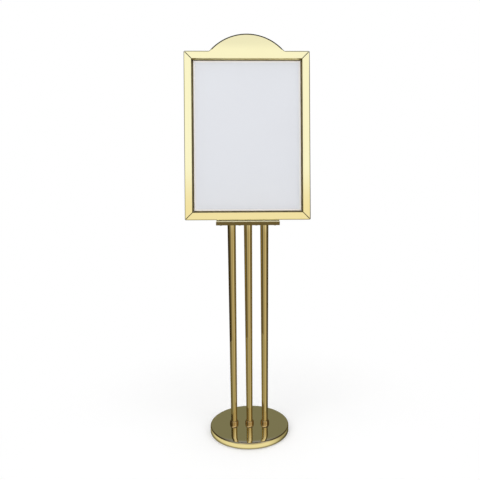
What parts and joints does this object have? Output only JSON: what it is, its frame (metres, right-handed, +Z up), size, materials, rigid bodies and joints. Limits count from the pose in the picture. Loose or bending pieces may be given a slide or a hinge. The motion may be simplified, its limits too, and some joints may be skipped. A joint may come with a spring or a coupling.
{
  "type": "lobby information sign",
  "caption": "Floor-standing information sign with a front-opening picture frame and arched crest, on slim tapered poles and a heavy round base.",
  "frame": {"origin": "centre of the round base, on the floor", "axes": "+Z up, the frame faces -Y, +X to the right of someone reading the sign"},
  "size_m": [0.485, 0.321, 1.5831],
  "materials": {
    "gold_mirror": "mirror polish",
    "gold_face": "mirror polish",
    "gold_satin": "satin anodised",
    "iron": "rough cast",
    "rubber": "matte",
    "zinc_steel": "zinc plated",
    "spring_steel": "satin",
    "board": "matte",
    "insert_card": "satin",
    "clear_plastic": "clear gloss"
  },
  "bodies": {
    "stand": {"base_cover": "gold_mirror", "base_weight": "iron", "floor_pad": "rubber", "foot_collar_left": "gold_mirror", "foot_collar_center": "gold_mirror", "foot_collar_right": "gold_mirror", "pole_left": "gold_mirror", "pole_center": "gold_mirror", "pole_right": "gold_mirror", "tie_rod_left": "zinc_steel", "tie_rod_center": "zinc_steel", "tie_rod_right": "zinc_steel", "foot_plugs": "zinc_steel", "top_plugs": "zinc_steel", "base_nuts": "zinc_steel", "base_washers": "zinc_steel", "head_nuts": "zinc_steel", "head_washers": "zinc_steel", "head_plate": "zinc_steel", "head_cradle": "gold_mirror", "head_screws": "zinc_steel", "rail_top": "gold_satin", "rail_bottom": "gold_satin", "rail_left": "gold_satin", "rail_right": "gold_satin", "corner_keys": "zinc_steel", "key_screws": "zinc_steel", "cover_springs": "spring_steel", "back_panel": "board", "insert_sheet": "insert_card", "clear_sheet": "clear_plastic", "nut_strip": "zinc_steel", "frame_screws": "zinc_steel"},
    "top_cover": {"cover_top": "gold_face"},
    "bottom_cover": {"cover_bottom": "gold_face"},
    "left_cover": {"cover_left": "gold_face"},
    "right_cover": {"cover_right": "gold_face"}
  },
  "joints": [
    {"name": "top_cover_hinge", "type": "hinge", "parent": "stand", "child": "top_cover", "pos_m": [0, 0.14529, 1.51086], "axis": [-1, 0, 0], "range_deg": [0, 90]},
    {"name": "bottom_cover_hinge", "type": "hinge", "parent": "stand", "child": "bottom_cover", "pos_m": [0, 0.01272, 0.88719], "axis": [1, 0, 0], "range_deg": [0, 90]},
    {"name": "left_cover_hinge", "type": "hinge", "parent": "stand", "child": "left_cover", "pos_m": [-0.2363, 0.07901, 1.19903], "axis": [0, -0.2079, -0.9781], "range_deg": [0, 90]},
    {"name": "right_cover_hinge", "type": "hinge", "parent": "stand", "child": "right_cover", "pos_m": [0.2363, 0.07901, 1.19903], "axis": [0, 0.2079, 0.9781], "range_deg": [0, 90]}
  ]
}
